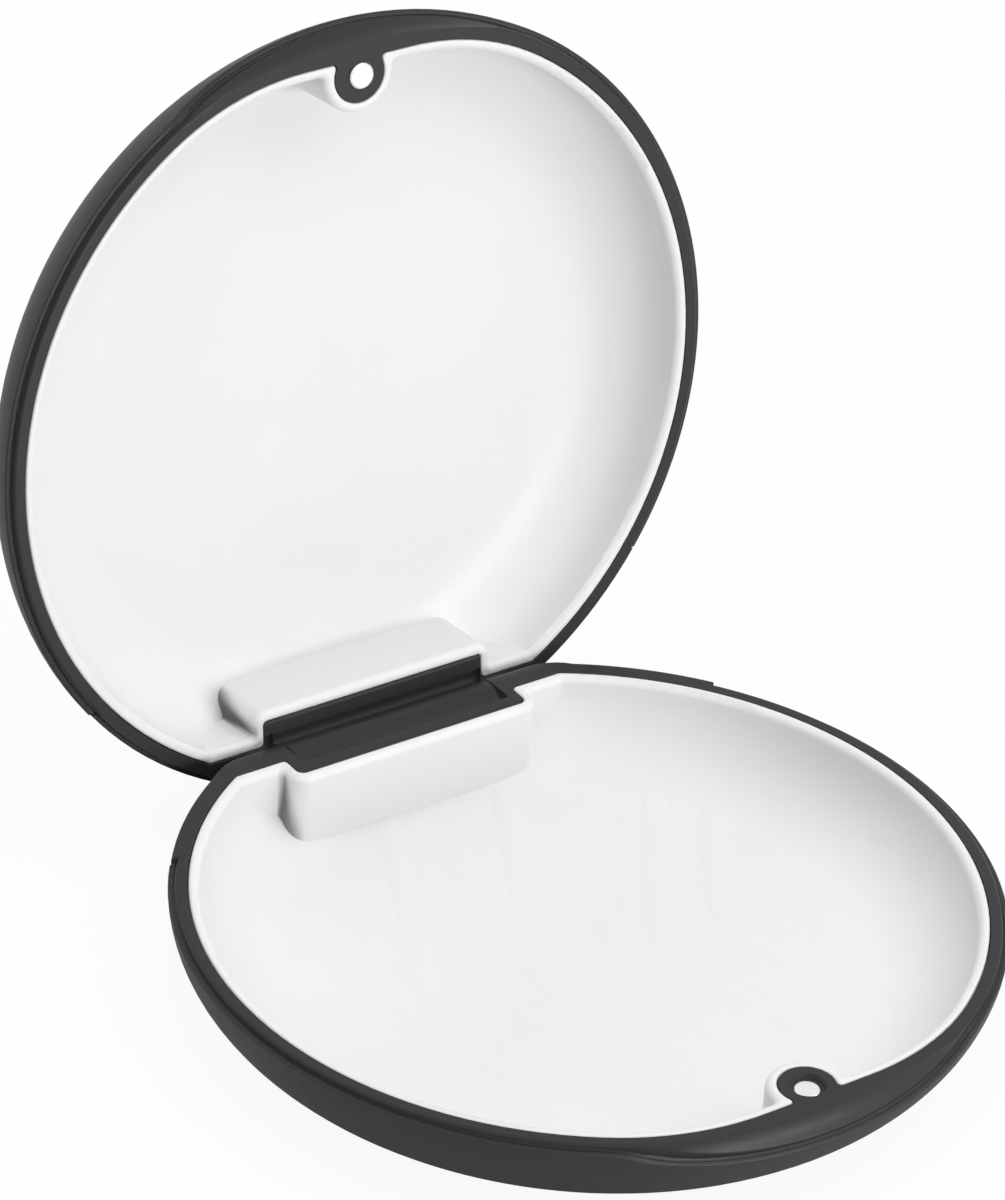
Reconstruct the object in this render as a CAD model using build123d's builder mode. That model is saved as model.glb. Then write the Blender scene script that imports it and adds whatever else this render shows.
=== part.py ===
# A round retainer case, drawn open: a dished base and a dished lid, each a soft-touch cover
# over an inner frame with a white liner, joined by a pinned hinge and held shut by two magnets.
# Millimetres, +Z up, the magnets at the front (-Y), the hinge at the back (+Y), and the origin
# at the centre of the base's flat underside.
from build123d import *
from math import cos, radians, sin
import os

# The dished outside, the same on both halves
CASE_RADIUS = 45.0
HALF_DEPTH = 12.5
SIDE_REACH = 14.8
PARTING_GAP = 0.3
OPEN_ANGLE = 97.0

# The hinge, whose line lies a little below the base's rim
HINGE_SETBACK = 6.2
HINGE_DROP = 2.85
HINGE_GAP = 0.3
BARREL_LENGTH = 26.6
WEB_FRONT = 1.9
RELIEF_WIDTH = 1.0
RELIEF_DEPTH = 0.6
RELIEF_BEFORE_HINGE = 3.1
RELIEF_BEHIND_HINGE = 2.2
EAR_INSET = 0.15
PIN_DIAMETER = 1.6
PIN_GRIP = 4.7
PIN_RUNNING_CLEARANCE = 0.06
PIN_SEAT_CLEARANCE = 0.01
PIN_END_CHAMFER = 0.2

# The covers, each with a thin upright lip at its edge
COVER_WALL = 1.4
LIP_WALL = 0.6
LIP_TOP_DEPTH = 0.6
LIP_HEIGHT = 0.35
LIP_ROUND = 0.22

# The frames inside the covers
REVEAL = 0.18
FRAME_ROUND = 0.3
SKIRT_DEPTH = 4.5
HINGE_BLOCK_DEPTH = 7.2
HINGE_BLOCK_REACH = 5.8
TAIL_SETBACK = 18.0

# The thumb scoop, a bent tube that runs past the front of both rims
SCOOP_BITE = 2.1
SCOOP_TUBE = 4.2
SCOOP_SWEEP = 69.8
SCOOP_ROUND = 0.35
SCOOP_REVEAL = 0.15
DIP_ROUND = 1.0

# The liners, with a notch for the hinge that is a little wider in the base
RIM_WIDTH = 2.2
FRONT_RIM_WIDTH = 4.15
BACK_RIM_WIDTH = 7.95
FRONT_BLEND = 30.7
BACK_CORNER_ROUND = 0.8
NOTCH_DEPTH = 3.05
NOTCH_BACK_ROUND = 0.6
BASE_NOTCH_MARGIN = 1.7
BASE_NOTCH_ROUND = 0.9
LID_NOTCH_MARGIN = 1.15
LID_NOTCH_ROUND = 0.5
LEAF_ROUND = 0.3
LEDGE_ROUND = 0.3
LINER_CLEARANCE = 0.1
LINER_WALL = 1.2
LINER_FLOOR = 1.9
LINER_FOOT_STEP = 0.7
TRAY_FOOT_STEP = 1.8
LINER_LIP_ROUND = 0.8
LINER_EDGE_ROUND = 0.3
LINER_BROW = 0.9

# The magnets in their bosses
MAGNET_SETBACK = 5.9
MAGNET_DIAMETER = 3.0
MAGNET_LENGTH = 2.0
MAGNET_CLEARANCE = 0.02
MAGNET_SUNK = 0.5
MAGNET_PROUD = 0.5
MAGNET_ROUND = 0.3
WELL_WIDENING = 0.2
WELL_CHAMFER = 0.3
BOSS_RADIUS = 3.15
BOSS_NECK_ROUND = 0.5

# The soft ribs on the base liner's floor, which bend like waves: where each starts by the hinge,
# where it bends and where it ends by the front, as seen from above
RIB_HEIGHT = 0.12
RIB_WIDTH = 3.2
RIB_BEND = 15.0
RIB_ROUTES = (
    ((-3.5, 34.0), (-20.3, -2.5), (-13.2, -31.5)),
    ((11.0, 32.4), (-6.8, -1.1), (0.6, -34.3)),
    ((25.5, 23.0), (8.2, -2.0), (15.5, -30.6)),
    ((29.6, 17.5), (16.6, -1.5), (23.0, -25.3)),
)

# A length that reaches past the whole case, and the turn of a quarter ellipse
BEYOND = 60.0
QUARTER_TURN = 90.0

FOOT_RADIUS = CASE_RADIUS - SIDE_REACH
INNER_DEPTH = HALF_DEPTH - COVER_WALL
FLANGE_DEPTH = LIP_TOP_DEPTH + LIP_HEIGHT
SCOOP_PIVOT = SCOOP_SWEEP - SCOOP_TUBE - (CASE_RADIUS - SCOOP_BITE)
HINGE_FROM_CENTRE = CASE_RADIUS - HINGE_SETBACK
TAIL_FRONT = CASE_RADIUS - TAIL_SETBACK
# The base's knuckles touch its rim plane, so their radius is the hinge's drop.
KNUCKLE_RADIUS = HINGE_DROP
LIPS_APART = HINGE_DROP + PARTING_GAP
POCKET_RADIUS = KNUCKLE_RADIUS + HINGE_GAP
POCKET_SIDE = BARREL_LENGTH / 2 + HINGE_GAP
PIN_END = BARREL_LENGTH / 2 + PIN_GRIP
LINER_RADIUS = CASE_RADIUS - RIM_WIDTH
LINER_FOOT_RADIUS = FOOT_RADIUS - LINER_FOOT_STEP
TRAY_FOOT_RADIUS = FOOT_RADIUS + TRAY_FOOT_STEP
TRAY_DEPTH = INNER_DEPTH - LINER_FLOOR
FRONT_FLAT = CASE_RADIUS - FRONT_RIM_WIDTH
BACK_FLAT = CASE_RADIUS - BACK_RIM_WIDTH
NOTCH_FRONT = BACK_FLAT - NOTCH_DEPTH
MAGNET_FROM_CENTRE = CASE_RADIUS - MAGNET_SETBACK
MAGNET_RADIUS = MAGNET_DIAMETER / 2
BASE_NOTCH = (BARREL_LENGTH / 2 + BASE_NOTCH_MARGIN, BASE_NOTCH_ROUND)
LID_NOTCH = (BARREL_LENGTH / 2 + LID_NOTCH_MARGIN, LID_NOTCH_ROUND)

# Each half is drawn on its rim plane, with y towards the hinge and z into the half.
open_turn = radians(OPEN_ANGLE)
base_rim = Plane(origin=(0, 0, HALF_DEPTH), x_dir=(-1, 0, 0), z_dir=(0, 0, -1))
lid_rim = Plane(
    origin=(
        0,
        HINGE_FROM_CENTRE * (1 - cos(open_turn)) + LIPS_APART * sin(open_turn),
        HALF_DEPTH - HINGE_DROP + HINGE_FROM_CENTRE * sin(open_turn) + LIPS_APART * cos(open_turn),
    ),
    x_dir=(1, 0, 0),
    z_dir=(0, sin(open_turn), cos(open_turn)),
)
# The hinge line lies below the base's rim and outside the lid's.
BASE_HINGE_DEPTH = HINGE_DROP
LID_HINGE_DEPTH = -LIPS_APART


def across(rim):
    """Plane across the half, with x along the hinge line and y into the half."""
    return Plane(origin=rim.origin, x_dir=rim.x_dir, z_dir=-rim.y_dir)


def along(rim):
    """Plane along the half, with x towards the hinge and y into the half."""
    return Plane(origin=rim.origin, x_dir=rim.y_dir, z_dir=rim.x_dir)


def bowl(rim, radius, foot_radius, depth):
    """A bowl-shaped solid with an elliptical side and a flat foot."""
    with BuildPart() as solid:
        with BuildSketch(across(rim)):
            with BuildLine():
                side = EllipticalCenterArc(
                    (foot_radius, 0), radius - foot_radius, depth, arc_size=QUARTER_TURN
                )
                Polyline(side @ 1, (0, depth), (0, 0), side @ 0)
            make_face()
        revolve(axis=Axis(rim.origin, rim.z_dir))
    return solid.part


def case_form(rim, inset):
    """The dished outside of the half, or a surface at an even depth below it."""
    return bowl(rim, CASE_RADIUS - inset, FOOT_RADIUS, HALF_DEPTH - inset)


def slab(rim, depth):
    """Everything between the rim plane and a depth."""
    with BuildPart() as layer:
        with BuildSketch(rim):
            Rectangle(2 * BEYOND, 2 * BEYOND)
        extrude(amount=depth)
    return layer.part


def scoop(rim, top, tube, flare):
    """The bent tube of the thumb scoop, flared where it comes up to a depth below the rim plane."""
    middle = SCOOP_PIVOT - SCOOP_SWEEP
    with BuildPart() as ring:
        with BuildSketch(along(rim)) as section:
            with Locations((middle, 0)):
                Circle(tube)
            with Locations((middle, top)):
                Rectangle(2 * (tube + 2 * flare), tube + flare, align=(Align.CENTER, Align.MAX))
            mouth = section.vertices().filter_by(lambda corner: abs(corner.X - middle) <= tube)
            fillet(mouth, flare)
        revolve(axis=Axis(rim.from_local_coords((0, SCOOP_PIVOT, 0)), rim.z_dir))
    return ring.part


def trimmed_form(rim, inset, top, tube, flare):
    """The case form, cut down to a depth below the rim plane and dipped at the scoop."""
    with BuildPart() as form:
        add(case_form(rim, inset))
        if top > 0:
            add(slab(rim, top), mode=Mode.SUBTRACT)
        add(scoop(rim, top, tube, flare), mode=Mode.SUBTRACT)
    return form.part


def rim_edges(form, rim):
    """The edges of a form's sides that are nearer to the rim than to the foot."""
    sides = form.faces().filter_by(GeomType.REVOLUTION)
    return sides.edges().filter_by(lambda edge: rim.to_local_coords(edge @ 0.5).Z < HALF_DEPTH / 2)


def hinge_box(rim, front, top, bottom, half_width):
    """A block across the hinge, from its front face back past the case."""
    with BuildPart() as block:
        with BuildSketch(along(rim)):
            with BuildLine():
                Polyline((front, top), (BEYOND, top), (BEYOND, bottom), (front, bottom), close=True)
            make_face()
        extrude(amount=half_width, both=True)
    return block.part


def hinge_rod(rim, hinge_depth, radius, start, end):
    """A rod along the hinge line between two places on it."""
    with BuildPart() as rod:
        with BuildSketch(along(rim).offset(start)):
            with Locations((HINGE_FROM_CENTRE, hinge_depth)):
                Circle(radius)
        extrude(amount=end - start)
    return rod.part


def behind_bevel(rim, hinge_depth):
    """Everything behind the bevel that stops against the other half when the case is open."""
    bevel = Plane(
        origin=along(rim).from_local_coords((HINGE_FROM_CENTRE, hinge_depth, 0)),
        x_dir=rim.x_dir,
        z_dir=(rim.y_dir * sin(open_turn / 2) - rim.z_dir * cos(open_turn / 2)),
    )
    with BuildPart() as block:
        with BuildSketch(bevel.offset(-HINGE_GAP / 2)):
            Rectangle(2 * BEYOND, 2 * BEYOND)
        extrude(amount=2 * BEYOND)
        add(hinge_box(rim, HINGE_FROM_CENTRE, -BEYOND, BEYOND, BEYOND), mode=Mode.INTERSECT)
    return block.part


def liner_outline(rim, notch, inset):
    """The liner's edge on the rim plane, or the same edge moved inwards."""
    half_width, notch_round = notch
    notch_side = half_width + inset
    notch_front = NOTCH_FRONT - inset
    boss_side = BOSS_RADIUS + inset
    with BuildSketch(rim) as edge:
        Circle(LINER_RADIUS - inset)
        with Locations((0, inset - FRONT_FLAT)):
            Rectangle(2 * BEYOND, BEYOND, align=(Align.CENTER, Align.MAX), mode=Mode.SUBTRACT)
        fillet(edge.vertices(), FRONT_BLEND - inset)
        with Locations((0, BACK_FLAT - inset)):
            Rectangle(2 * BEYOND, BEYOND, align=(Align.CENTER, Align.MIN), mode=Mode.SUBTRACT)
        fillet(edge.vertices().group_by(Axis.Y)[-1], BACK_CORNER_ROUND)
        with Locations((0, notch_front)):
            Rectangle(2 * notch_side, BEYOND, align=(Align.CENTER, Align.MIN), mode=Mode.SUBTRACT)
        fillet(edge.vertices().sort_by_distance((0, BACK_FLAT - inset))[:2], NOTCH_BACK_ROUND)
        fillet(edge.vertices().sort_by_distance((0, notch_front))[:2], notch_round + inset)
        with Locations((0, -MAGNET_FROM_CENTRE)):
            Circle(boss_side, mode=Mode.SUBTRACT)
        fillet(edge.vertices().sort_by_distance((0, -MAGNET_FROM_CENTRE))[:2], BOSS_NECK_ROUND)
    return edge.sketch


def liner_block(rim, notch, inset, foot_radius, depth):
    """The outside of the liner as a solid block, or the block of room inside it."""
    outline = liner_outline(rim, notch, inset)
    with BuildPart() as block:
        add(bowl(rim.offset(LINER_BROW), LINER_RADIUS - inset, foot_radius, depth - LINER_BROW))
        extrude(outline, HALF_DEPTH, mode=Mode.INTERSECT)
        extrude(outline, LINER_BROW)
    return block.part


def liner_room(rim, notch):
    """The room that the frame leaves for the liner."""
    return liner_block(rim, notch, -LINER_CLEARANCE, LINER_FOOT_RADIUS, INNER_DEPTH + LINER_CLEARANCE)


def make_liner(rim, notch):
    """The liner: a thin-walled tray with flat sides round the hinge and the magnet's boss."""
    with BuildPart() as liner:
        add(liner_block(rim, notch, 0, LINER_FOOT_RADIUS, INNER_DEPTH))
        add(liner_block(rim, notch, LINER_WALL, TRAY_FOOT_RADIUS, TRAY_DEPTH), mode=Mode.SUBTRACT)
        lip = liner.faces().sort_by(Axis(rim.origin, rim.z_dir))[0]
        fillet(lip.inner_wires()[0].edges(), LINER_LIP_ROUND)
        lip = liner.faces().sort_by(Axis(rim.origin, rim.z_dir))[0]
        fillet(lip.outer_wire().edges(), LINER_EDGE_ROUND)
    return liner.part


def make_cover(rim, hinge_depth):
    """The soft-touch cover: a dish with a thin lip, dipped at the scoop and cut back at the hinge."""
    lip_tube = SCOOP_TUBE + SCOOP_REVEAL
    with BuildPart() as lip:
        add(trimmed_form(rim, 0, LIP_TOP_DEPTH, lip_tube, DIP_ROUND))
        add(case_form(rim, LIP_WALL), mode=Mode.SUBTRACT)
        fillet(rim_edges(lip, rim), LIP_ROUND)
    with BuildPart() as cover:
        add(trimmed_form(rim, LIP_WALL, FLANGE_DEPTH, lip_tube + LIP_HEIGHT, DIP_ROUND - LIP_HEIGHT))
        add(lip.part)
        add(case_form(rim, COVER_WALL), mode=Mode.SUBTRACT)
        add(hinge_box(rim, TAIL_FRONT - REVEAL, 0, HINGE_DROP + REVEAL, BEYOND), mode=Mode.SUBTRACT)
        add(behind_bevel(rim, hinge_depth), mode=Mode.SUBTRACT)
    return cover.part


def make_frame(rim, hinge_depth):
    """The frame without its hinge: a flange, a skirt inside the cover, a block behind the liner
    and a tail on either side, which comes out to the case's side behind the cover's lip."""
    with BuildPart() as skirt:
        add(slab(rim, SKIRT_DEPTH))
        add(hinge_box(rim, HINGE_FROM_CENTRE - HINGE_BLOCK_REACH, 0, HINGE_BLOCK_DEPTH, BEYOND))
        add(case_form(rim, COVER_WALL), mode=Mode.INTERSECT)
    with BuildPart() as under_groove:
        add(slab(rim, FLANGE_DEPTH))
        add(scoop(rim, FLANGE_DEPTH, SCOOP_TUBE + SCOOP_REVEAL + LIP_HEIGHT, DIP_ROUND - LIP_HEIGHT))
    with BuildPart() as flange:
        add(trimmed_form(rim, LIP_WALL + REVEAL, 0, SCOOP_TUBE, SCOOP_ROUND))
        fillet(rim_edges(flange, rim), FRAME_ROUND)
        add(under_groove.part, mode=Mode.INTERSECT)
    with BuildPart() as tails:
        add(case_form(rim, EAR_INSET))
        fillet(rim_edges(tails, rim), FRAME_ROUND)
        add(hinge_box(rim, TAIL_FRONT, 0, HINGE_DROP, BEYOND), mode=Mode.INTERSECT)
    with BuildPart() as frame:
        add(skirt.part)
        add(scoop(rim, 0, SCOOP_TUBE, SCOOP_ROUND), mode=Mode.SUBTRACT)
        add(flange.part)
        add(tails.part)
        add(behind_bevel(rim, hinge_depth), mode=Mode.SUBTRACT)
    return frame.part


def magnet_disc(rim, radius, top, bottom):
    """A disc in the boss between two depths."""
    with BuildPart() as disc:
        with BuildSketch(rim.offset(top)):
            with Locations((0, -MAGNET_FROM_CENTRE)):
                Circle(radius)
        extrude(amount=bottom - top)
    return disc.part


def make_magnet(rim, top):
    """A disc magnet with rounded edges, from its face down."""
    with BuildPart() as magnet:
        add(magnet_disc(rim, MAGNET_RADIUS, top, top + MAGNET_LENGTH))
        fillet(magnet.edges().filter_by(GeomType.CIRCLE), MAGNET_ROUND)
    return magnet.part


def leaf_rounding(rim, notch, radius):
    """What is cut away to round the front edge of the frame's leaf in the liner's notch."""
    front = NOTCH_FRONT + LINER_CLEARANCE
    half_width, corner_round = notch
    with BuildPart() as cutter:
        with BuildSketch(along(rim)):
            with Locations((front, 0)):
                Rectangle(2 * radius, 2 * radius)
            with Locations((front + radius, radius)):
                Circle(radius, mode=Mode.SUBTRACT)
        extrude(amount=half_width, both=True)
    return cutter.part


os.makedirs("parts", exist_ok=True)

# The base's cover leaves room for the hinge's ears.
with BuildPart() as base_cover:
    add(make_cover(base_rim, BASE_HINGE_DEPTH))
    add(hinge_rod(base_rim, BASE_HINGE_DEPTH, KNUCKLE_RADIUS + REVEAL, -BEYOND, BEYOND), mode=Mode.SUBTRACT)
base_cover.part.label = "base_cover"
export_step(base_cover.part, "parts/base_cover.step")

# The base's frame carries the two ears, with the barrel's pocket between them. The pin's bore
# runs out through one ear, where the pin goes in.
with BuildPart() as base_ears:
    add(hinge_rod(base_rim, BASE_HINGE_DEPTH, KNUCKLE_RADIUS, -BEYOND, BEYOND))
    add(case_form(base_rim, EAR_INSET), mode=Mode.INTERSECT)

with BuildPart() as base_frame:
    add(make_frame(base_rim, BASE_HINGE_DEPTH))
    add(base_ears.part)
    add(liner_room(base_rim, BASE_NOTCH), mode=Mode.SUBTRACT)
    add(leaf_rounding(base_rim, BASE_NOTCH, LEDGE_ROUND), mode=Mode.SUBTRACT)
    add(hinge_rod(base_rim, BASE_HINGE_DEPTH, POCKET_RADIUS, -POCKET_SIDE, POCKET_SIDE), mode=Mode.SUBTRACT)
    add(
        hinge_box(base_rim, HINGE_FROM_CENTRE - POCKET_RADIUS, -PARTING_GAP, HINGE_DROP, POCKET_SIDE),
        mode=Mode.SUBTRACT,
    )
    add(
        hinge_rod(base_rim, BASE_HINGE_DEPTH, PIN_DIAMETER / 2 + PIN_SEAT_CLEARANCE, -BEYOND, PIN_END),
        mode=Mode.SUBTRACT,
    )
    add(magnet_disc(base_rim, MAGNET_RADIUS + WELL_WIDENING, 0, MAGNET_SUNK), mode=Mode.SUBTRACT)
    boss_top = base_rim.from_local_coords((0, -MAGNET_FROM_CENTRE, 0))
    well_mouth = base_frame.edges().filter_by(GeomType.CIRCLE).sort_by_distance(boss_top)[0]
    chamfer(well_mouth, WELL_CHAMFER)
    add(
        magnet_disc(base_rim, MAGNET_RADIUS + MAGNET_CLEARANCE, 0, MAGNET_SUNK + MAGNET_LENGTH),
        mode=Mode.SUBTRACT,
    )
base_frame.part.label = "base_frame"
export_step(base_frame.part, "parts/base_frame.step")

# The base's liner has low soft ribs on its floor, each half an oval that sinks into the floor.
with BuildPart() as base_liner:
    add(make_liner(base_rim, BASE_NOTCH))
    for route in RIB_ROUTES:
        with BuildLine(Plane.XY.offset(HALF_DEPTH - TRAY_DEPTH - RIB_HEIGHT)) as rib_line:
            FilletPolyline(*route, radius=RIB_BEND)
        with BuildSketch(Plane(origin=rib_line.line @ 0, x_dir=(0, 0, 1), z_dir=rib_line.line % 0)):
            Ellipse(2 * RIB_HEIGHT, RIB_WIDTH / 2)
        sweep(path=rib_line.line)
base_liner.part.label = "base_liner"
export_step(base_liner.part, "parts/base_liner.step")

# The base's magnet lies below the rim, where the lid's drops into its well.
with BuildPart() as base_magnet:
    add(make_magnet(base_rim, MAGNET_SUNK))
base_magnet.part.label = "base_magnet"
export_step(base_magnet.part, "parts/base_magnet.step")

with BuildPart() as hinge_pin:
    add(hinge_rod(base_rim, BASE_HINGE_DEPTH, PIN_DIAMETER / 2, -PIN_END, PIN_END))
    chamfer(hinge_pin.edges().filter_by(GeomType.CIRCLE), PIN_END_CHAMFER)
hinge_pin.part.label = "hinge_pin"
export_step(hinge_pin.part, "parts/hinge_pin.step")

with BuildPart() as lid_cover:
    add(make_cover(lid_rim, LID_HINGE_DEPTH))
lid_cover.part.label = "lid_cover"
export_step(lid_cover.part, "parts/lid_cover.step")

# The lid's frame carries the barrel on a web, with a relief beside each end of it.
with BuildPart() as lid_frame:
    add(make_frame(lid_rim, LID_HINGE_DEPTH))
    add(liner_room(lid_rim, LID_NOTCH), mode=Mode.SUBTRACT)
    add(leaf_rounding(lid_rim, LID_NOTCH, LEAF_ROUND), mode=Mode.SUBTRACT)
    add(hinge_box(lid_rim, HINGE_FROM_CENTRE - WEB_FRONT, LID_HINGE_DEPTH, 0, BARREL_LENGTH / 2))
    add(behind_bevel(lid_rim, LID_HINGE_DEPTH), mode=Mode.SUBTRACT)
    add(hinge_rod(lid_rim, LID_HINGE_DEPTH, KNUCKLE_RADIUS, -BARREL_LENGTH / 2, BARREL_LENGTH / 2))
    add(
        hinge_rod(lid_rim, LID_HINGE_DEPTH, PIN_DIAMETER / 2 + PIN_RUNNING_CLEARANCE, -BEYOND, BEYOND),
        mode=Mode.SUBTRACT,
    )
    with BuildSketch(lid_rim):
        with Locations((0, HINGE_FROM_CENTRE + (RELIEF_BEHIND_HINGE - RELIEF_BEFORE_HINGE) / 2)):
            with GridLocations(BARREL_LENGTH + RELIEF_WIDTH, 1, 2, 1):
                Rectangle(RELIEF_WIDTH, RELIEF_BEFORE_HINGE + RELIEF_BEHIND_HINGE)
    extrude(amount=RELIEF_DEPTH, mode=Mode.SUBTRACT)
    add(
        magnet_disc(lid_rim, MAGNET_RADIUS + MAGNET_CLEARANCE, 0, MAGNET_LENGTH - MAGNET_PROUD),
        mode=Mode.SUBTRACT,
    )
lid_frame.part.label = "lid_frame"
export_step(lid_frame.part, "parts/lid_frame.step")

with BuildPart() as lid_liner:
    add(make_liner(lid_rim, LID_NOTCH))
lid_liner.part.label = "lid_liner"
export_step(lid_liner.part, "parts/lid_liner.step")

with BuildPart() as lid_magnet:
    add(make_magnet(lid_rim, -MAGNET_PROUD))
lid_magnet.part.label = "lid_magnet"
export_step(lid_magnet.part, "parts/lid_magnet.step")
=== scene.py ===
from math import cos, radians, sin

import bpy
from mathutils import Matrix, Vector


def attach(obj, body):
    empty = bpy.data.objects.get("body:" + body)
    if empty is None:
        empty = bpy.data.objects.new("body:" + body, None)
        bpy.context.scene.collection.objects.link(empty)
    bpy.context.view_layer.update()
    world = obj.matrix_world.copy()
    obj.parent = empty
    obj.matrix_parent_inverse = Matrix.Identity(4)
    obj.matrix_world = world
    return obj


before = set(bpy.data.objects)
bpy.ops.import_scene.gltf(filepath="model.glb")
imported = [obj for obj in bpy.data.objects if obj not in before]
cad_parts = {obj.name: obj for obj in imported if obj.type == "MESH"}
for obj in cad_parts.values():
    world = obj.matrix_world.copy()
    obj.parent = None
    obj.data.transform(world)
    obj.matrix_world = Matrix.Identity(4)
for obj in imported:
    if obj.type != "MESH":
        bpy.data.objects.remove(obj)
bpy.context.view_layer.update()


# The covers are two dishes moulded in charcoal plastic with a soft-touch coat, which makes a
# smooth, very even matt skin. Each snaps round the frame inside it. Narrow grooves, such as the
# one inside its lip, get a lighter grey mixed in: painted light that softens their shade.
def group_with(name, inlets, outlets):
    """A node group with named inputs at their starting values, and named outputs."""
    group = bpy.data.node_groups.new(name, "ShaderNodeTree")
    for title, start in inlets.items():
        kind = "NodeSocketVector" if isinstance(start, tuple) else "NodeSocketFloat"
        group.interface.new_socket(title, in_out="INPUT", socket_type=kind).default_value = start
    for title in outlets:
        group.interface.new_socket(title, in_out="OUTPUT", socket_type="NodeSocketFloat")
    return group, group.nodes.new("NodeGroupInput"), group.nodes.new("NodeGroupOutput")


def moulded_grain():
    """Node group: the fine skin of a moulded plastic, as a height and a slightly uneven gloss."""
    group, inlet, outlet = group_with(
        "moulded_grain",
        {"Grain Size": 4000.0, "Patch Size": 60.0, "Gloss Low": 0.4, "Gloss High": 0.5},
        ("Height", "Roughness", "Patches"),
    )
    nodes, links = group.nodes, group.links
    place = nodes.new("ShaderNodeTexCoord")
    grain = nodes.new("ShaderNodeTexNoise")
    grain.inputs["Detail"].default_value = 3.0
    links.new(place.outputs["Object"], grain.inputs["Vector"])
    links.new(inlet.outputs["Grain Size"], grain.inputs["Scale"])
    patches = nodes.new("ShaderNodeTexNoise")
    patches.inputs["Detail"].default_value = 4.0
    patches.inputs["Roughness"].default_value = 0.55
    links.new(place.outputs["Object"], patches.inputs["Vector"])
    links.new(inlet.outputs["Patch Size"], patches.inputs["Scale"])
    gloss = nodes.new("ShaderNodeMapRange")
    gloss.inputs["From Min"].default_value = 0.3
    gloss.inputs["From Max"].default_value = 0.7
    links.new(patches.outputs["Fac"], gloss.inputs["Value"])
    links.new(inlet.outputs["Gloss Low"], gloss.inputs["To Min"])
    links.new(inlet.outputs["Gloss High"], gloss.inputs["To Max"])
    links.new(grain.outputs["Fac"], outlet.inputs["Height"])
    links.new(gloss.outputs["Result"], outlet.inputs["Roughness"])
    links.new(patches.outputs["Fac"], outlet.inputs["Patches"])


def plastic(name, colours, grain_size, grain_depth, patch_size, gloss, specular):
    """A moulded plastic: two near colours in soft patches, and the grain as a fine bump."""
    material = bpy.data.materials.new(name)
    material.use_nodes = True
    nodes, links = material.node_tree.nodes, material.node_tree.links
    shader = nodes["Principled BSDF"]
    shader.inputs["Specular IOR Level"].default_value = specular
    skin = nodes.new("ShaderNodeGroup")
    skin.node_tree = bpy.data.node_groups["moulded_grain"]
    skin.inputs["Grain Size"].default_value = grain_size
    skin.inputs["Patch Size"].default_value = patch_size
    skin.inputs["Gloss Low"].default_value, skin.inputs["Gloss High"].default_value = gloss
    tint = nodes.new("ShaderNodeMix")
    tint.name = "tint"
    tint.data_type = "RGBA"
    tint.inputs["A"].default_value = (*colours[0], 1.0)
    tint.inputs["B"].default_value = (*colours[1], 1.0)
    links.new(skin.outputs["Patches"], tint.inputs["Factor"])
    links.new(tint.outputs["Result"], shader.inputs["Base Color"])
    links.new(skin.outputs["Roughness"], shader.inputs["Roughness"])
    bump = nodes.new("ShaderNodeBump")
    bump.inputs["Distance"].default_value = grain_depth
    links.new(skin.outputs["Height"], bump.inputs["Height"])
    links.new(bump.outputs["Normal"], shader.inputs["Normal"])
    return material


def rise(tree, value, start, end, curve="SMOOTHSTEP"):
    """A mask that goes from 0 to 1 while a value goes from the start to the end."""
    step = tree.nodes.new("ShaderNodeMapRange")
    step.interpolation_type = curve
    tree.links.new(value, step.inputs["Value"])
    if isinstance(start, float):
        step.inputs["From Min"].default_value = start
    else:
        tree.links.new(start, step.inputs["From Min"])
    step.inputs["From Max"].default_value = end
    return step.outputs["Result"]


def groove_painted_light():
    """Node group: a mask of the narrow grooves, where a lighter grey is mixed in as painted
    light.
    """
    group, inlet, outlet = group_with("groove_painted_light", {"Reach": 0.001}, ("Mask",))
    closed = group.nodes.new("ShaderNodeAmbientOcclusion")
    closed.samples = 8
    group.links.new(inlet.outputs["Reach"], closed.inputs["Distance"])
    # An open face has 1 here, and the floor of a groove about a third
    narrow = rise(group, closed.outputs["AO"], 0.75, 0.35, "LINEAR")
    group.links.new(narrow, outlet.inputs["Mask"])


def grey_where(material, mask, settings, grey):
    """Mixes a grey into a plastic's colour where a mask group says so."""
    nodes, links = material.node_tree.nodes, material.node_tree.links
    where = nodes.new("ShaderNodeGroup")
    where.node_tree = bpy.data.node_groups[mask]
    for title, value in settings.items():
        where.inputs[title].default_value = value
    greyed = nodes.new("ShaderNodeMix")
    greyed.data_type = "RGBA"
    greyed.inputs["B"].default_value = (grey, grey, grey, 1.0)
    links.new(where.outputs["Mask"], greyed.inputs["Factor"])
    links.new(nodes["tint"].outputs["Result"], greyed.inputs["A"])
    links.new(greyed.outputs["Result"], nodes["Principled BSDF"].inputs["Base Color"])


def dress(node, material):
    """Gives a CAD node its finish."""
    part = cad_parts[node]
    part.data.materials.clear()
    part.data.materials.append(material)


moulded_grain()
groove_painted_light()
GROOVE_LIGHT_REACH, GROOVE_LIGHT_GREY = 0.0015, 0.09
soft_touch = plastic(
    "soft_touch_charcoal", colours=((0.013, 0.013, 0.0135), (0.018, 0.018, 0.0185)),
    grain_size=5000.0, grain_depth=0.00002, patch_size=45.0, gloss=(0.45, 0.55), specular=0.35,
)
# Painted light: a lighter grey in the narrow grooves softens their shade.
grey_where(soft_touch, "groove_painted_light", {"Reach": GROOVE_LIGHT_REACH}, GROOVE_LIGHT_GREY)
dress("base_cover", soft_touch)
dress("lid_cover", soft_touch)


# The frames are moulded in plain charcoal plastic with a finer, slightly glossier skin. They
# carry the rim, the bosses and the hinge.
satin_charcoal = plastic(
    "satin_charcoal", colours=((0.015, 0.015, 0.0155), (0.019, 0.019, 0.0195)),
    grain_size=6000.0, grain_depth=0.00001, patch_size=60.0, gloss=(0.4, 0.5), specular=0.28,
)
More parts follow.
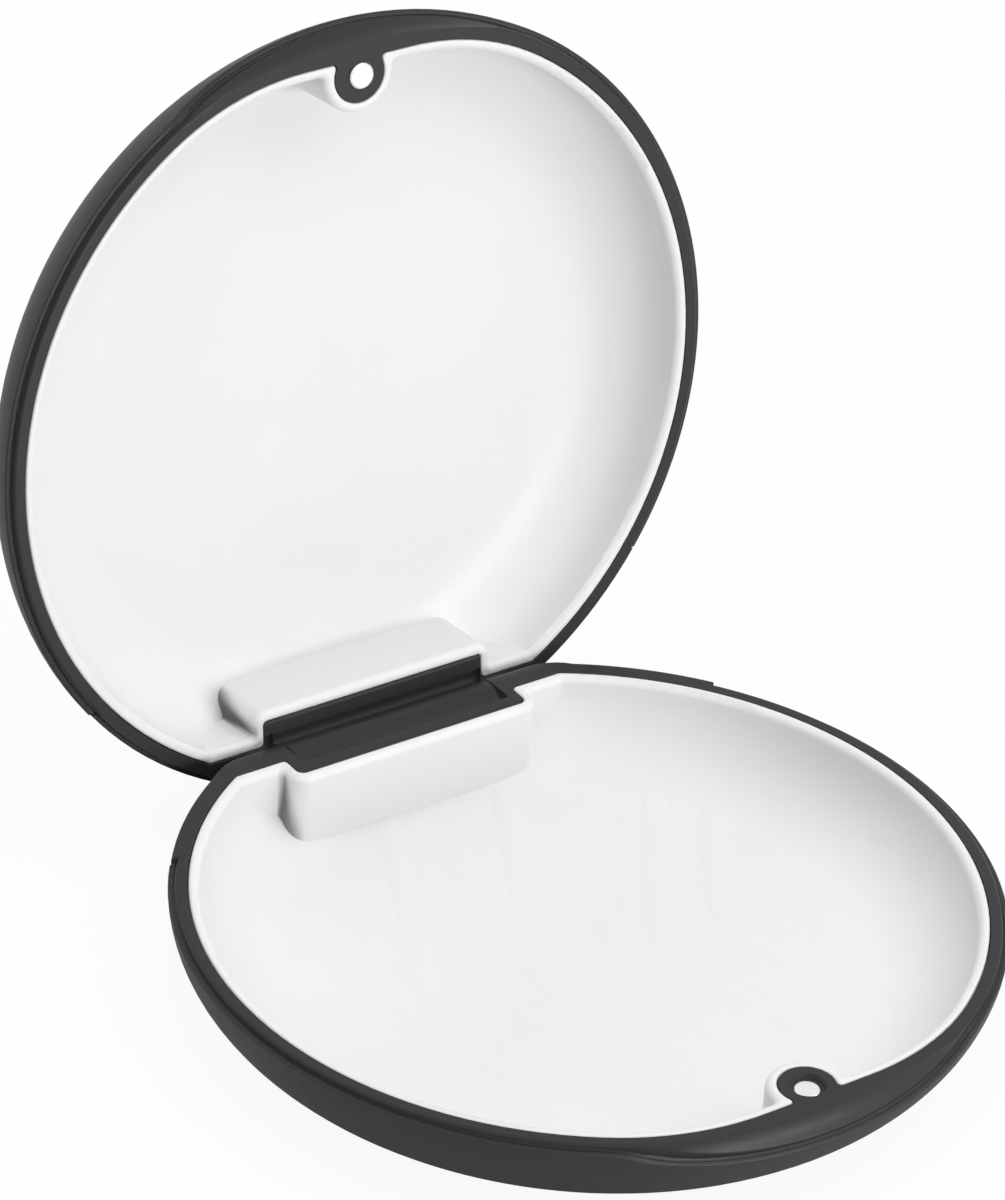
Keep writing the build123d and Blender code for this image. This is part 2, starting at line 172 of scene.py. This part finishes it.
# Painted light: the frames' narrow grooves get the same lighter grey, which softens their shade.
grey_where(satin_charcoal, "groove_painted_light", {"Reach": GROOVE_LIGHT_REACH}, GROOVE_LIGHT_GREY)
dress("base_frame", satin_charcoal)
dress("lid_frame", satin_charcoal)


# Beside the hinge the lid's frame carries on the line of the cover's lip, so its edge is stepped
# down to the lip's level there, with the same groove inside the step. A hidden ring on the rim
# plane of the open lid cuts both.
RING_SIDES = 240
# Radii from the lid's middle, and depths into the lid from its rim plane, in metres
ABOVE_RIM, STEP_DEPTH, GROOVE_DEPTH = -0.0006, 0.0006, 0.00095
GROOVE_INSIDE, GROOVE_OUTSIDE, PAST_EDGE = 0.04425, 0.04443, 0.0456
EDGE_PROFILE = (
    (GROOVE_INSIDE, ABOVE_RIM), (PAST_EDGE, ABOVE_RIM), (PAST_EDGE, STEP_DEPTH),
    (GROOVE_OUTSIDE, STEP_DEPTH), (GROOVE_OUTSIDE, GROOVE_DEPTH), (GROOVE_INSIDE, GROOVE_DEPTH),
)
ring_points = []
ring_faces = []
for side in range(RING_SIDES):
    angle = radians(360.0 * side / RING_SIDES)
    here, ahead = side * len(EDGE_PROFILE), (side + 1) % RING_SIDES * len(EDGE_PROFILE)
    for corner, (radius, depth) in enumerate(EDGE_PROFILE):
        beside = (corner + 1) % len(EDGE_PROFILE)
        ring_points.append((radius * cos(angle), radius * sin(angle), depth))
        ring_faces.append((here + corner, ahead + corner, ahead + beside, here + beside))
ring_mesh = bpy.data.meshes.new("lid_edge_cutter")
ring_mesh.from_pydata(ring_points, [], ring_faces)
edge_ring = bpy.data.objects.new("lid_edge_cutter", ring_mesh)
bpy.context.scene.collection.objects.link(edge_ring)
LID_OPEN = radians(97.0)
# The hinge line behind the middle and above the table, and the closed lid's rim plane above it
HINGE_BACK, HINGE_HEIGHT, RIM_OVER_HINGE = 0.0388, 0.00965, 0.00315
open_cos, open_sin = cos(LID_OPEN), sin(LID_OPEN)
edge_ring.matrix_world = Matrix((
    (1, 0, 0, 0),
    (0, open_cos, open_sin, HINGE_BACK * (1 - open_cos) + RIM_OVER_HINGE * open_sin),
    (0, -open_sin, open_cos, HINGE_HEIGHT + HINGE_BACK * open_sin + RIM_OVER_HINGE * open_cos),
    (0, 0, 0, 1),
))
edge_ring.hide_render = True
edge_ring.hide_set(True)
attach(edge_ring, "lid")
lid_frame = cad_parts["lid_frame"]
edge_step = lid_frame.modifiers.new("edge_step", "BOOLEAN")
edge_step.operation = "DIFFERENCE"
edge_step.solver = "EXACT"
edge_step.object = edge_ring
lid_frame.modifiers.new("edge_split", "EDGE_SPLIT").split_angle = radians(25.0)
lid_frame.modifiers.new("even_shading", "WEIGHTED_NORMAL").keep_sharp = True


# The liners are smooth white trays that push into the frames. Their skin is nearly even, with
# faint cloudy patches from wear. Painted shade darkens the tight corners at the left of the
# hinge, on faces turned to the left.
def combine(tree, operation, first, second):
    """The result of one operation on two outputs. The second may be a plain number."""
    step = tree.nodes.new("ShaderNodeMath")
    step.operation = operation
    tree.links.new(first, step.inputs[0])
    if isinstance(second, float):
        step.inputs[1].default_value = second
    else:
        tree.links.new(second, step.inputs[1])
    return step.outputs["Value"]


def painted_corner_shade():
    """Node group: a painted shade mask that rises in the tight corners at the left of the hinge,
    on faces turned to the left.
    """
    group, inlet, outlet = group_with(
        "painted_corner_shade", {"Reach": 0.003, "Middle": (0.0, 0.0, 0.0), "Radius": 0.02}, ("Mask",)
    )
    nodes, links = group.nodes, group.links
    closed = nodes.new("ShaderNodeAmbientOcclusion")
    closed.samples = 16
    links.new(inlet.outputs["Reach"], closed.inputs["Distance"])
    place = nodes.new("ShaderNodeTexCoord")
    turned = nodes.new("ShaderNodeSeparateXYZ")
    links.new(place.outputs["Normal"], turned.inputs["Vector"])
    away = nodes.new("ShaderNodeVectorMath")
    away.operation = "DISTANCE"
    links.new(place.outputs["Object"], away.inputs[0])
    links.new(inlet.outputs["Middle"], away.inputs[1])
    # An open face has 1 here, and the foot of a corner less than a half
    tight = rise(group, closed.outputs["AO"], 0.9, 0.4)
    # Faces turned to the left, away from the key light, take the painted shade
    facing_left = rise(group, turned.outputs["X"], -0.2, -0.8)
    near = rise(group, away.outputs["Value"], inlet.outputs["Radius"], 0.0)
    tight_left = combine(group, "MULTIPLY", tight, facing_left)
    links.new(combine(group, "MULTIPLY", tight_left, near), outlet.inputs["Mask"])


painted_corner_shade()
CORNER_SHADE_GREY = 0.03
satin_white = plastic(
    "satin_white", colours=((0.68, 0.68, 0.68), (0.74, 0.74, 0.74)),
    grain_size=1500.0, grain_depth=0.000005, patch_size=35.0, gloss=(0.38, 0.5), specular=0.4,
)
# Painted shade: a dark grey in the tight corners beside the hinge, on left-facing faces.
grey_where(
    satin_white, "painted_corner_shade",
    {"Reach": 0.006, "Middle": (-0.015, 0.042, 0.012), "Radius": 0.03}, CORNER_SHADE_GREY,
)
dress("base_liner", satin_white)
dress("lid_liner", satin_white)


# The magnets are small sintered discs, plated with nickel, which gives them a bright and
# slightly soft shine. They are pushed into the bosses of the frames.
def plated(name, colour, gloss):
    """A plated or ground metal, with faint patches and a slightly uneven gloss."""
    material = bpy.data.materials.new(name)
    material.use_nodes = True
    nodes, links = material.node_tree.nodes, material.node_tree.links
    shader = nodes["Principled BSDF"]
    shader.inputs["Metallic"].default_value = 1.0
    skin = nodes.new("ShaderNodeGroup")
    skin.node_tree = bpy.data.node_groups["moulded_grain"]
    skin.inputs["Patch Size"].default_value = 900.0
    skin.inputs["Gloss Low"].default_value, skin.inputs["Gloss High"].default_value = gloss
    tint = nodes.new("ShaderNodeMix")
    tint.data_type = "RGBA"
    tint.inputs["A"].default_value = (*colour, 1.0)
    tint.inputs["B"].default_value = (*(0.9 * part for part in colour), 1.0)
    links.new(skin.outputs["Patches"], tint.inputs["Factor"])
    links.new(tint.outputs["Result"], shader.inputs["Base Color"])
    links.new(skin.outputs["Roughness"], shader.inputs["Roughness"])
    return material


nickel = plated("nickel_plate", colour=(0.87, 0.86, 0.84), gloss=(0.2, 0.3))
dress("base_magnet", nickel)
dress("lid_magnet", nickel)


# The hinge pin is a ground steel rod. It is pushed in through one ear of the base's frame and
# runs through the lid's barrel, so it shows only at its end in that ear.
ground_steel = plated("ground_steel", colour=(0.6, 0.6, 0.6), gloss=(0.25, 0.35))
dress("hinge_pin", ground_steel)


# The case stands on a table that is covered with white paper. The paper shows white to the
# camera, but keeps the case's faint shadow.
def white_ground(paper_white, glow_share):
    """White paper that glows for the camera only, by the given share."""
    material = bpy.data.materials.new("white_ground")
    material.use_nodes = True
    tree = material.node_tree
    tree.nodes.clear()
    path = tree.nodes.new("ShaderNodeLightPath")
    glow = tree.nodes.new("ShaderNodeEmission")
    glow.inputs["Strength"].default_value = 1.0
    paper = tree.nodes.new("ShaderNodeBsdfDiffuse")
    paper.inputs["Color"].default_value = (paper_white, paper_white, paper_white, 1.0)
    seen = combine(
        tree, "MAXIMUM", path.outputs["Is Camera Ray"], path.outputs["Is Transmission Ray"]
    )
    mix = tree.nodes.new("ShaderNodeMixShader")
    tree.links.new(combine(tree, "MULTIPLY", seen, glow_share), mix.inputs["Fac"])
    tree.links.new(paper.outputs["BSDF"], mix.inputs[1])
    tree.links.new(glow.outputs["Emission"], mix.inputs[2])
    out = tree.nodes.new("ShaderNodeOutputMaterial")
    tree.links.new(mix.outputs["Shader"], out.inputs["Surface"])
    return material


TABLE_HALF, TABLE_DROP = 3, 0.0001
table_mesh = bpy.data.meshes.new("table")
table_corners = [
    (-TABLE_HALF, -TABLE_HALF, 0), (TABLE_HALF, -TABLE_HALF, 0),
    (TABLE_HALF, TABLE_HALF, 0), (-TABLE_HALF, TABLE_HALF, 0),
]
table_mesh.from_pydata(table_corners, [], [(0, 1, 2, 3)])
table = bpy.data.objects.new("table", table_mesh)
bpy.context.scene.collection.objects.link(table)
table.location.z = -TABLE_DROP
table_mesh.materials.append(white_ground(paper_white=0.75, glow_share=0.93))


# The room is a white tent that is lit from its ceiling and dims towards the ground. It is plain
# white to the camera and in reflections.
CEILING_LEVEL, DIMMING = 2.1, 2.0
room = bpy.data.worlds.new("room")
bpy.context.scene.world = room
room.use_nodes = True
room_tree = room.node_tree
room_nodes, room_links = room_tree.nodes, room_tree.links
room_nodes.clear()
room_path = room_nodes.new("ShaderNodeLightPath")
room_seen = combine(
    room_tree, "MAXIMUM", room_path.outputs["Is Camera Ray"], room_path.outputs["Is Glossy Ray"]
)
room_seen = combine(room_tree, "MAXIMUM", room_seen, room_path.outputs["Is Transmission Ray"])
room_way = room_nodes.new("ShaderNodeTexCoord")
room_sides = room_nodes.new("ShaderNodeSeparateXYZ")
room_links.new(room_way.outputs["Generated"], room_sides.inputs["Vector"])
room_rise = combine(room_tree, "POWER", room_sides.outputs["Z"], DIMMING)
room_level = combine(room_tree, "MULTIPLY", room_rise, CEILING_LEVEL)
room_light = room_nodes.new("ShaderNodeBackground")
room_links.new(room_level, room_light.inputs["Strength"])
room_white = room_nodes.new("ShaderNodeBackground")
room_white.inputs["Strength"].default_value = 1.0
for glow in (room_light, room_white):
    glow.inputs["Color"].default_value = (1.0, 1.0, 1.0, 1.0)
room_mix = room_nodes.new("ShaderNodeMixShader")
room_links.new(room_seen, room_mix.inputs["Fac"])
room_links.new(room_light.outputs["Background"], room_mix.inputs[1])
room_links.new(room_white.outputs["Background"], room_mix.inputs[2])
room_out = room_nodes.new("ShaderNodeOutputWorld")
room_links.new(room_mix.outputs["Shader"], room_out.inputs["Surface"])


# A broad softbox hangs above and in front of the case, to the right. A low one in front lights
# the upright lid.
CASE_MIDDLE = Vector((0, 0.02, 0.03))


def hang_softbox(name, place, size, power):
    """A square lamp that is turned towards the case."""
    data = bpy.data.lights.new(name, "AREA")
    data.shape = "SQUARE"
    data.size = size
    data.energy = power
    lamp = bpy.data.objects.new(name, data)
    bpy.context.scene.collection.objects.link(lamp)
    lamp.location = place
    lamp.rotation_euler = (CASE_MIDDLE - lamp.location).to_track_quat("-Z", "Y").to_euler()


hang_softbox("softbox_high", place=(0.3, -0.4, 0.7), size=0.5, power=1.2)
hang_softbox("softbox_low", place=(0.2, -0.8, 0.08), size=0.3, power=4.7)


# The camera looks from the front left and from above, at the photograph's angle, and leans a
# little to one side. Its lens is long, as for a picture of a small product.
AZIMUTH, ELEVATION, ROLL = radians(-36.166), radians(32.227), radians(3.979)
TARGET, DISTANCE = Vector((0.024367, 0.052746, 0.0125)), 0.679207
FOCAL_PIXELS, IMAGE_HEIGHT = 5915.8, 1200
back = Vector((sin(AZIMUTH) * cos(ELEVATION), -cos(AZIMUTH) * cos(ELEVATION), sin(ELEVATION)))
level = (-back).cross(Vector((0, 0, 1))).normalized()
upright = level.cross(-back)
right = level * cos(ROLL) + upright * sin(ROLL)
up = upright * cos(ROLL) - level * sin(ROLL)
spot = TARGET + back * DISTANCE
eye_data = bpy.data.cameras.new("eye")
eye_data.sensor_width = 36.0
eye_data.lens = FOCAL_PIXELS * eye_data.sensor_width / IMAGE_HEIGHT
eye_data.clip_start = 0.01
eye = bpy.data.objects.new("eye", eye_data)
bpy.context.scene.collection.objects.link(eye)
eye.matrix_world = Matrix((
    (right.x, up.x, back.x, spot.x),
    (right.y, up.y, back.y, spot.y),
    (right.z, up.z, back.z, spot.z),
    (0, 0, 0, 1),
))
bpy.context.scene.camera = eye
bpy.context.scene.view_settings.view_transform = "Standard"
